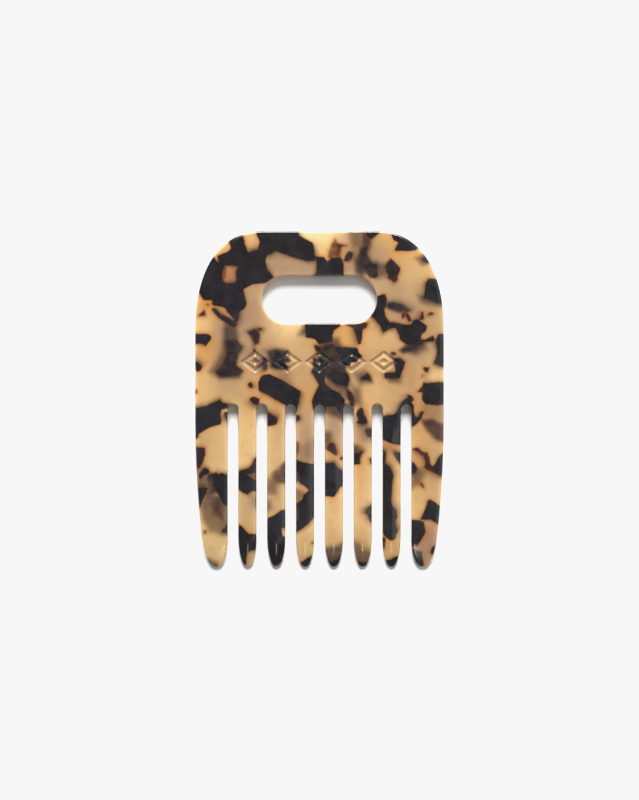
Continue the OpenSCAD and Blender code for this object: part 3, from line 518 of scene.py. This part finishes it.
def tooth_rows(k):
    """Rows down a tooth: height, way in from the gap's side by its closed end, share of the width."""
    length = OUTER_TIP_L if k in (0, GAP_N) else TIP_L
    tip_y = length - HALF_L
    root = np.radians(np.linspace(0, 90, ROOT_STEPS)[1:])
    rows = [(ROOT_Y - GAP_R + GAP_R * math.cos(a), GAP_R * (1 - math.sin(a)), 1) for a in root]
    rows += [(y, 0, 1) for y in np.linspace(ROOT_Y - GAP_R, tip_y, TOOTH_STEPS)[1:]]
    tip = np.radians(np.linspace(0, 90, TIP_STEPS)[1:-1])
    power = 2 / TIP_POWER
    return rows + [(tip_y - length * math.sin(a) ** power, 0, math.cos(a) ** power) for a in tip]


def tooth_outline(k):
    """Points down the left of tooth k and up its right."""
    down = []
    up = []
    for y, way_in, share in tooth_rows(k):
        left, tip, right = tooth_sides(k, y)
        down.append((tip + (left - tip) * share - (way_in if k > 0 else 0), y))
        up.append((tip + (right - tip) * share + (way_in if k < GAP_N else 0), y))
    end = (tooth_sides(k, -HALF_L)[1], -HALF_L)
    root = [(gap_x(k), ROOT_Y)] if k < GAP_N else []
    return down + [end] + up[::-1] + root


def divided(points):
    """A closed outline with points added along its steps longer than STEP."""
    out = []
    for a, b in zip(points, np.roll(points, -1, 0)):
        n = max(1, math.ceil(np.hypot(*(b - a)) / STEP))
        out += [a + (b - a) * i / n for i in range(n)]
    return np.array(out)


def comb_outline():
    """The outside, anticlockwise."""
    points = [p for k in range(GAP_N + 1) for p in tooth_outline(k)]
    side = list(np.linspace(ROOT_Y, CORNER_Y, SIDE_STEPS))
    angles = np.radians(np.linspace(0, 90, CORNER_STEPS)[1:])
    corner = [CORNER_Y + CORNER_H * math.sin(a) ** (2 / CORNER_POWER) for a in angles]
    handle = [(half_width(y), y) for y in side + corner]
    points += handle + [(-x, y) for x, y in handle[::-1]]
    return divided(np.array(points))


def slot_outline():
    """The finger slot, clockwise, so that its walls face into the hole."""
    half = SLOT_L / 2 - SLOT_R
    angles = np.radians(np.linspace(0, 180, SLOT_STEPS))
    right = [(half + SLOT_R * math.sin(a), SLOT_Y + SLOT_R * math.cos(a)) for a in angles]
    left = [(-x, 2 * SLOT_Y - y) for x, y in right]
    return divided(np.array(right + left))


def inset(points, d):
    """A closed outline moved by d along its normals, into the material."""
    before = points - np.roll(points, 1, 0)
    after = np.roll(points, -1, 0) - points
    normals = []
    for v in (before, after):
        v = v / np.hypot(*v.T)[:, None]
        normals.append(np.stack([v[:, 1], -v[:, 0]], 1))
    b, a = normals
    return points - d * (b + a) / (1 + (b * a).sum(1))[:, None]


def inside(points, loop):
    """Which points lie inside a closed outline."""
    hit = np.zeros(len(points), bool)
    x, y = points.T
    for (ax, ay), (bx, by) in zip(loop, np.roll(loop, -1, 0)):
        if ay != by:
            hit ^= ((ay > y) != (by > y)) & (x < ax + (y - ay) * (bx - ax) / (by - ay))
    return hit


# --- Pressed band
def lozenge_centres():
    return [((i - (LOZENGE_N - 1) / 2) * LOZENGE_PITCH, BAND_Y) for i in range(LOZENGE_N)]


def pressed(x, y):
    """How far inside the pressed lines each point lies, negative outside them."""
    deep = np.full(len(x), -FAR)
    for cx, cy in lozenge_centres():
        size = np.abs(x - cx) / (LOZENGE_W / 2) + np.abs(y - cy) / (LOZENGE_H / 2)
        line = np.minimum(1 - size, size - INNER_SIZE)
        deep = np.maximum(deep, np.maximum(line, CORE_SIZE - size) * LOZENGE_R)
    return deep


def groove_share(x, y):
    """Share of the full depth that the pressed lines have at each point."""
    return smooth((pressed(x, y) + SHOULDER) / (SHOULDER + FLANK))


def pressed_loops():
    """Loops that follow the shoulders and feet of the pressed lines."""
    across, up = LOZENGE_W / 2, LOZENGE_H / 2
    corners = np.array([(across, 0), (0, up), (-across, 0), (0, -up)])
    loops = []
    for cx, cy in lozenge_centres():
        for edge, way in ((1, -1), (INNER_SIZE, 1), (CORE_SIZE, -1)):
            for d in np.linspace(-SHOULDER, FLANK, FLANK_LOOPS):
                size = edge + way * d / LOZENGE_R
                loops.append(divided(corners * size + (cx, cy)))
    return loops


# --- Mesh
def shown(obj):
    bpy.context.scene.collection.objects.link(obj)
    return obj


def nearest(tree_points, points):
    """Distance from each point to the nearest of tree_points, all in the plane."""
    tree = kdtree.KDTree(len(tree_points))
    for i, (x, y) in enumerate(tree_points):
        tree.insert((x, y, 0), i)
    tree.balance()
    return np.array([tree.find((x, y, 0))[2] for x, y in points])


def grid_points(outer, hole, fixed, grid):
    """Points of a triangular grid that fill the outline, clear of its hole and the fixed ones."""
    xs = np.arange(-HALF_W, HALF_W, grid)
    ys = np.arange(-HALF_L, HALF_L, grid * math.sqrt(3) / 2)
    x, y = np.meshgrid(xs, ys)
    x[::2] += grid / 2
    cloud = np.stack([x.ravel(), y.ravel()], 1)
    cloud = cloud[inside(cloud, outer) & ~inside(cloud, hole)]
    return cloud[nearest(fixed, cloud) > CLEARANCE * grid]


def filled(outer, hole, extra, grid):
    """Triangles that fill the outline apart from its hole: the points, outline first, and faces."""
    loops = [outer, hole] + extra
    fixed = np.concatenate(loops)
    points = np.concatenate([fixed, grid_points(outer, hole, fixed, grid)])
    edges = []
    start = 0
    for loop in loops:
        n = len(loop)
        edges += [(start + i, start + (i + 1) % n) for i in range(n)]
        start += n
    result = delaunay_2d_cdt([Vector(p) for p in points], edges, [], 0, 1e-6)
    if len(result[0]) != len(points):
        raise ValueError("the outlines cross or repeat a point")
    order = np.array([ids[0] for ids in result[3]])
    faces = order[np.array(result[2])]
    middle = points[faces].mean(1)
    return points, faces[inside(middle, outer) & ~inside(middle, hole)]


def face_height(points, edges, side):
    """Heights of a flat face's points: side is 1 on the front and -1 on the back."""
    x, y = points.T
    up = half_thick(y)
    if side > 0:
        up = up - fall(x, y, nearest(edges, points))
        up -= LINE_DEPTH * groove_share(x, y)
    return half_thick(y) + side * up


def wall_rings(loop):
    """Rings from the front face's edge round and down to the back face's edge."""
    rings = []
    rounds = np.radians(np.linspace(0, 90, EDGE_RINGS + 1))
    for side, angles in ((1, rounds), (-1, rounds[::-1])):
        for a in angles:
            p = inset(loop, EDGE_R * (1 - math.sin(a)))
            half = half_thick(p[:, 1])
            up = half - (fall(p[:, 0], p[:, 1], 0) if side > 0 else 0)
            up -= np.minimum(EDGE_R, TIP_ROUND * up) * (1 - math.cos(a))
            rings.append(np.column_stack([p, half + side * up]))
    front, back = rings[EDGE_RINGS], rings[EDGE_RINGS + 1]
    between = [front + (back - front) * i / WALL_RINGS for i in range(1, WALL_RINGS)]
    return rings[:EDGE_RINGS + 1] + between + rings[EDGE_RINGS + 1:]


def comb_mesh():
    """The whole comb: points in mm and faces."""
    loops = [comb_outline(), slot_outline()]
    edge = [inset(loop, EDGE_R) for loop in loops]
    border = np.concatenate(edge)
    front, front_faces = filled(*edge, pressed_loops(), FRONT_GRID)
    back, back_faces = filled(*edge, [], BACK_GRID)
    points = [np.column_stack([front, face_height(front, border, 1)]),
              np.column_stack([back, face_height(back, border, -1)])]
    faces = front_faces.tolist() + (back_faces[:, ::-1] + len(front)).tolist()
    total = len(front) + len(back)
    offset = 0
    for loop in loops:
        rings = wall_rings(loop)
        n = len(loop)
        # the first and last rings are the two faces' own edges
        starts = [offset] + [total + i * n for i in range(len(rings) - 2)] + [len(front) + offset]
        points += rings[1:-1]
        for a, b in zip(starts, starts[1:]):
            faces += [(a + i, b + i, b + (i + 1) % n, a + (i + 1) % n) for i in range(n)]
        total += n * (len(rings) - 2)
        offset += n
    return np.concatenate(points), faces


# --- Tortoiseshell
def signed_distance(p, corners):
    """Distance from each point to a polygon's edge, positive inside it."""
    square = np.full(len(p), 1e9)
    for a, b in zip(corners, np.roll(corners, -1, 0)):
        ab = b - a
        t = np.clip(((p - a) @ ab) / (ab @ ab), 0, 1)
        q = p - a - t[:, None] * ab
        square = np.minimum(square, (q * q).sum(1))
    return np.sqrt(square) * np.where(inside(p, corners), 1, -1)


class Chip:
    """A chip: its outline at its top, and sides that all lean the same way down to its bottom."""

    def __init__(self, top, corners, draw):
        self.top = top
        self.bottom = max(top + CHIP_T, draw.uniform(*CHIP_BOTTOM))
        self.corners = np.array(corners, float)
        heading = draw.uniform(0, 2 * math.pi)
        self.lean = draw.uniform(*CHIP_LEAN) * np.array([math.cos(heading), math.sin(heading)])

    def near(self, xy):
        """Which points are near enough for it to matter."""
        return ((xy > self.corners.min(0) - MARGIN) & (xy < self.corners.max(0) + MARGIN)).all(1)

    def gap(self, depth):
        """How far each depth is above its top or below its bottom."""
        return np.maximum(np.maximum(self.top - depth, depth - self.bottom), 0)

    def into(self, p, depth):
        """Distance into its outline at a depth, negative outside it."""
        shift = self.lean * (np.clip(depth, self.top, self.bottom) - self.top)[:, None]
        return signed_distance(p - shift, self.corners)

    def solid(self, p, depth):
        """Distance into the chip, negative beside, above and below it."""
        gap = self.gap(depth)
        s = self.into(p, depth)
        return np.where(gap > 0, -np.hypot(np.minimum(s, 0), gap), s)

    def veils(self, p, depth):
        """Slices of it seen through the honey, more blurred and fainter with depth."""
        inward = np.where(depth < MID_Z, 1, -1)
        for reach in [self.gap(depth)] + [np.full(len(p), r) for r in SEEN_DEPTHS]:
            level = depth + inward * reach
            there = (level > self.top - DEPTH_SLACK) & (level < self.bottom + DEPTH_SLACK)
            width = BLUR + BLUR_GAIN * reach
            cover = smooth((self.into(p, level) + width) / (2 * width))
            yield VEIL * cover * np.exp(-reach / VEIL_DEPTH) * there


def chip_fields(xy, depth):
    """At each point and depth: distance into the nearest chip, its redness, and smoke."""
    draw = np.random.default_rng(SEED)
    into = np.full(len(xy), -FAR)
    red = np.zeros(len(xy))
    smoke = np.zeros(len(xy))
    for top, redness, corners in CHIPS:
        chip = Chip(top, corners, draw)
        near = chip.near(xy)
        solid = chip.solid(xy[near], depth[near])
        red[near] = np.where(solid > into[near], redness, red[near])
        into[near] = np.maximum(into[near], solid)
        for veil in chip.veils(xy[near], depth[near]):
            smoke[near] = 1 - (1 - smoke[near]) * (1 - veil * (1 - RED_VEIL * redness))
    return into, red, smoke


def tint_field(xy):
    """Tone of the honey ground at each point: each patch colours the places nearest to it."""
    tint = np.zeros((len(xy), 3))
    weight = np.zeros(len(xy))
    for tone, places in PATCHES.items():
        for x, y, r in places:
            square = ((xy - (x, y)) ** 2).sum(1)
            w = r * np.exp(-square / (2 * r * r)) + FAR_TINT * r * r / (1 + square) ** 1.5
            tint += w[:, None] * linear(tone) * ALBEDO
            weight += w
    return tint / weight[:, None]


def linear(colour):
    """A colour of 0 to 255 as seen on a screen, in Blender's linear values."""
    c = np.array(colour, float) / 255
    return np.where(c <= 0.04045, c / 12.92, ((c + 0.055) / 1.055) ** 2.4)


def comb_fields(points):
    """The pattern at each point: numbers by name, and the tone of the honey."""
    xy = (points[:, :2] - (0, PATTERN_SHIFT)) / PATTERN_SCALE
    # depths are stretched where a tooth gets thinner, so that its chips still reach the front
    depth = SHEET_T - points[:, 2] * SHEET_T / 2 / half_thick(points[:, 1])
    chip, red, smoke = chip_fields(xy, depth)
    outlines = np.concatenate([comb_outline(), slot_outline()])
    # painted light: nearness to an edge, for the glow painted along every edge
    painted_edge_light = np.exp(-nearest(outlines, points[:, :2]) / PAINTED_EDGE_LIGHT_REACH)
    groove = groove_share(*points[:, :2].T) * (depth < MID_Z)
    fields = {"chip": chip, "red": red, "smoke": smoke, "painted_edge_light": painted_edge_light, "pressed": groove}
    return fields, tint_field(xy)


def comb_piece():
    """The comb's object, with the pattern stored on its vertices."""
    points, faces = comb_mesh()
    mesh = bpy.data.meshes.new("tortoiseshell_comb")
    mesh.from_pydata((points * MM).tolist(), [], faces)
    mesh.validate()
    mesh.polygons.foreach_set("use_smooth", [True] * len(mesh.polygons))
    fields, tint = comb_fields(points)
    for name, values in fields.items():
        data = mesh.attributes.new(name, "FLOAT", "POINT").data
        data.foreach_set("value", values.astype(np.float32))
    data = mesh.attributes.new("tint", "FLOAT_VECTOR", "POINT").data
    data.foreach_set("vector", tint.astype(np.float32).ravel())
    return shown(bpy.data.objects.new("comb_body", mesh))


# --- Materials
class Nodes:
    """Short calls for building a material's nodes."""

    def __init__(self, name):
        self.material = bpy.data.materials.new(name)
        self.material.use_nodes = True
        self.tree = self.material.node_tree
        self.shader = self.tree.nodes["Principled BSDF"]

    def add(self, kind, inputs=None, **settings):
        node = self.tree.nodes.new(kind)
        for key, value in settings.items():
            setattr(node, key, value)
        for key, value in (inputs or {}).items():
            self.put(node.inputs[key], value)
        return node

    def put(self, socket, value):
        if isinstance(value, bpy.types.NodeSocket):
            self.tree.links.new(value, socket)
        else:
            socket.default_value = value

    def attribute(self, name, output="Fac"):
        return self.add("ShaderNodeAttribute", attribute_name=name).outputs[output]

    def math(self, operation, a, b=0.0, c=0.0):
        return self.add("ShaderNodeMath", {0: a, 1: b, 2: c}, operation=operation).outputs[0]

    def noise(self, where, size, detail=2.0):
        """Noise from 0 to 1 with features about size mm across."""
        inputs = {"Vector": where, "Scale": 1 / (size * MM), "Detail": detail}
        return self.add("ShaderNodeTexNoise", inputs).outputs["Fac"]

    def ramp(self, value, start, end, low=0.0, high=1.0):
        """A smooth step from low to high as value goes from start to end."""
        inputs = {"Value": value, "From Min": start, "From Max": end, "To Min": low, "To Max": high}
        return self.add("ShaderNodeMapRange", inputs, interpolation_type="SMOOTHSTEP").outputs[0]

    def mix(self, factor, a, b, blend="MIX"):
        node = self.add("ShaderNodeMix", data_type="RGBA", blend_type=blend)
        self.put(node.inputs[0], factor)
        self.put(node.inputs[6], a)
        self.put(node.inputs[7], b)
        return node.outputs[2]

    def bands(self, value, stops):
        """Colours along value, each stop being a place and a linear colour."""
        node = self.add("ShaderNodeValToRGB", {"Fac": value})
        elements = node.color_ramp.elements
        while len(elements) < len(stops):
            elements.new(1.0)
        for element, (place, colour) in zip(elements, stops):
            element.position = place
            element.color = (*colour, 1)
        return node.outputs["Color"]


def ground(tone):
    return (*linear(tone) * ALBEDO, 1)


def honey_ground(n, where):
    """The honey's own colour, with pale clouds and orange veins, plus painted light: a glow drawn in along
    every edge.
    """
    cloud = n.ramp(n.noise(where, CLOUD_SIZE), *SPREAD, 0.0, CLOUD)
    honey = n.mix(cloud, n.attribute("tint", "Vector"), ground(CREAM))
    vein = n.ramp(n.noise(where, VEIN_SIZE, detail=4.0), *VEIN_SPREAD, 0.0, VEIN)
    honey = n.mix(vein, honey, ground(ORANGE))
    # painted light: near every edge the honey is drawn toward a bright glowing tone
    return n.mix(n.math("MULTIPLY", n.attribute("painted_edge_light"), PAINTED_EDGE_LIGHT), honey, ground(PAINTED_EDGE_LIGHT_TONE))


def chip_distance(n, where):
    """Distance into the nearest chip, made a little uneven."""
    ragged = n.math("MULTIPLY_ADD", n.noise(where, RAGGED_SIZE, detail=3.0), 2 * RAGGED, -RAGGED)
    wavy = n.math("MULTIPLY_ADD", n.noise(where, WAVY_SIZE, detail=1.0), 2 * WAVY, -WAVY)
    return n.math("ADD", n.attribute("chip"), n.math("ADD", ragged, wavy))


def smoked(n, where, honey, chip):
    """The honey with a warm glow next to the chips, and with the chips that show through it."""
    warm = n.mix(1.0, honey, WARM_TINT, "MULTIPLY")
    honey = n.mix(n.ramp(chip, -WARM_REACH, 0.0, 0.0, WARM), honey, warm)
    uneven = n.ramp(n.noise(where, SMOKE_SIZE), *SMOKE_SPREAD, *SMOKE_RANGE)
    smoke = n.math("MINIMUM", n.math("MULTIPLY", n.attribute("smoke"), uneven), 1.0)
    dark = n.mix(n.attribute("red"), ground(SMOKE), ground(RUSSET))
    return n.mix(smoke, honey, dark)


def with_chips(n, where, honey, chip):
    """The honey with its chips: light that passes a chip's edge turns brown, then dies out."""
    place = n.add("ShaderNodeMapRange", {"Value": chip, "From Min": -EDGE, "From Max": EDGE})
    black = n.bands(place.outputs[0], BLACK_EDGE)
    brown = n.bands(place.outputs[0], BROWN_EDGE)
    shade = n.mix(n.attribute("red"), black, brown)
    body = n.mix(1.0, honey, shade, "MULTIPLY")
    cloud = n.ramp(n.noise(where, CHIP_CLOUD_SIZE, detail=3.0), *CHIP_CLOUD_SPREAD)
    own = n.mix(cloud, ground(CHIP), ground(CHIP_CLOUD))
    core = n.mix(n.ramp(chip, *CORE_EDGE), (0, 0, 0, 1), own)
    return n.mix(1.0, body, core, "ADD")


def polish(n, where):
    """A hand-polished gloss, with a duller, grainy floor in the pressed lines."""
    pressed_in = n.attribute("pressed")
    haze = n.ramp(n.noise(where, HAZE_SIZE), *SPREAD, *ROUGHNESS)
    n.put(n.shader.inputs["Roughness"], n.math("MULTIPLY_ADD", pressed_in, PRESSED_ROUGHNESS, haze))
    waves = n.math("MULTIPLY", n.noise(where, WAVE_SIZE, detail=1.0), WAVE_HEIGHT)
    grain = n.math("MULTIPLY", n.noise(where, GRAIN_SIZE), pressed_in)
    grain = n.math("MULTIPLY", grain, GRAIN_HEIGHT)
    height = n.math("MULTIPLY", n.math("ADD", waves, grain), MM)
    bump = n.add("ShaderNodeBump", {"Height": height, "Strength": 1.0, "Distance": 1.0})
    n.put(n.shader.inputs["Normal"], bump.outputs["Normal"])


def acetate():
    """Clouded honey with smoke from deep chips, and black chips with brown rims."""
    n = Nodes("tortoiseshell_acetate")
    where = n.add("ShaderNodeTexCoord").outputs["Object"]
    chip = chip_distance(n, where)
    honey = smoked(n, where, honey_ground(n, where), chip)
    n.put(n.shader.inputs["Base Color"], with_chips(n, where, honey, chip))
    polish(n, where)
    for name, value in ACETATE.items():
        n.put(n.shader.inputs[name], value)
    return n.material


def paper():
    """Plain pale paper with a very faint tooth."""
    n = Nodes("pale_paper")
    where = n.add("ShaderNodeTexCoord").outputs["Object"]
    tone = n.ramp(n.noise(where, PAPER_CLOUD_SIZE), *SPREAD)
    n.put(n.shader.inputs["Base Color"], n.mix(tone, *PAPER))
    n.put(n.shader.inputs["Roughness"], 0.9)
    n.put(n.shader.inputs["Specular IOR Level"], 0.1)
    return n.material


# --- Stage
def floor():
    """A pale sheet that the comb lies on, with its surface at the comb's back face."""
    half = FLOOR_SIZE / 2
    mesh = bpy.data.meshes.new("floor")
    corners = [(-half, -half), (half, -half), (half, half), (-half, half)]
    mesh.from_pydata([(x, y, low.z) for x, y in corners], [], [(0, 1, 2, 3)])
    mesh.materials.append(paper())
    obj = shown(bpy.data.objects.new("floor", mesh))


def soft_light(name, place, size, power, target=(0, 0, 0)):
    """A rectangular soft box that faces the target."""
    data = bpy.data.lights.new(name, "AREA")
    data.shape = "RECTANGLE"
    data.size, data.size_y = size
    data.energy = power
    obj = shown(bpy.data.objects.new(name, data))
    obj.location = place
    obj.rotation_euler = (Vector(target) - Vector(place)).to_track_quat("-Z", "Y").to_euler()


def lights():
    for name, settings in LIGHTS.items():
        soft_light(name, **settings)
    world = bpy.data.worlds.new("studio")
    world.use_nodes = True
    background = world.node_tree.nodes["Background"]
    background.inputs["Color"].default_value = WORLD_TONE
    background.inputs["Strength"].default_value = WORLD_LIGHT
    bpy.context.scene.world = world


def camera():
    """Straight above the comb, as the photo was taken."""
    data = bpy.data.cameras.new("camera")
    data.lens = LENS
    data.sensor_width = SENSOR
    distance = VIEW_HEIGHT * LENS / SENSOR
    obj = shown(bpy.data.objects.new("camera", data))
    obj.location = (0, VIEW_Y, high.z + distance)
    bpy.context.scene.camera = obj


def tone_curve():
    """Plain tones, with the overexposed floor held at the photo's pale white."""
    view = bpy.context.scene.view_settings
    view.view_transform = "Standard"
    view.use_curve_mapping = True
    curves = view.curve_mapping
    curves.extend = "HORIZONTAL"
    points = curves.curves[3].points
    points[1].location = (1.0, WHITE)
    points.new(KNEE, KNEE)
    for point in points:
        point.handle_type = "VECTOR"
    curves.update()


comb = comb_piece()
comb.data.materials.append(acetate())
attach(comb, "root")
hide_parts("comb")
floor()
lights()
camera()
tone_curve()
